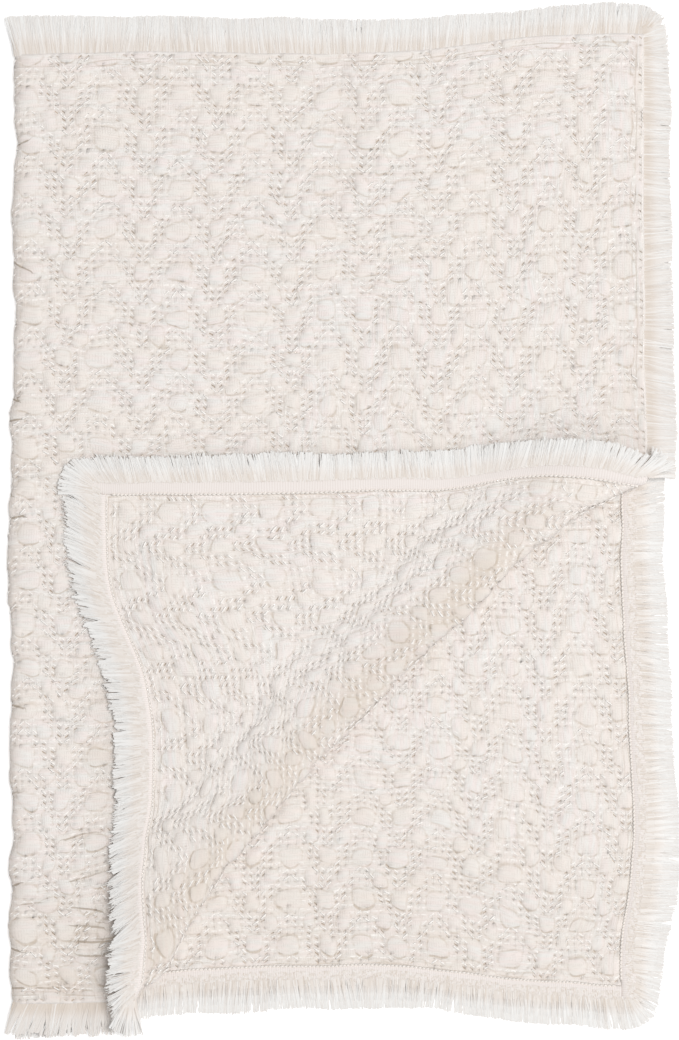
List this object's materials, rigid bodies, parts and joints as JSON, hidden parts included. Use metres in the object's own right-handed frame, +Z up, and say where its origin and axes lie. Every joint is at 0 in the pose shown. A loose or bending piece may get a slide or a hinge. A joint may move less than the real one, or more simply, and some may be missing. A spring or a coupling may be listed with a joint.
{
  "type": "folded fringed baby blanket",
  "caption": "Cream crinkle-woven cotton baby blanket, folded in half with one corner turned back, cut-thread fringe on every edge, lying flat.",
  "frame": {"origin": "on the surface it lies on, under the middle of the folded blanket's box, fringe included", "axes": "+Y from the bottom edge to the top edge, +X from the half fold to the open edges, +Z up from the surface it lies on"},
  "size_m": [0.4572, 0.708, 0.0268],
  "materials": {
    "crinkle_cotton": "matt crinkled cotton weave, cream",
    "fringe_cotton": "matt cut cotton threads, cream"
  },
  "bodies": {
    "root": {"cloth": "crinkle_cotton", "fringe_under_right": "fringe_cotton", "fringe_under_top": "fringe_cotton", "fringe_under_bottom": "fringe_cotton", "fringe_over_top": "fringe_cotton", "fringe_over_right": "fringe_cotton", "fringe_over_bottom": "fringe_cotton", "fringe_flap_left": "fringe_cotton", "fringe_flap_top": "fringe_cotton"}
  },
  "joints": []
}
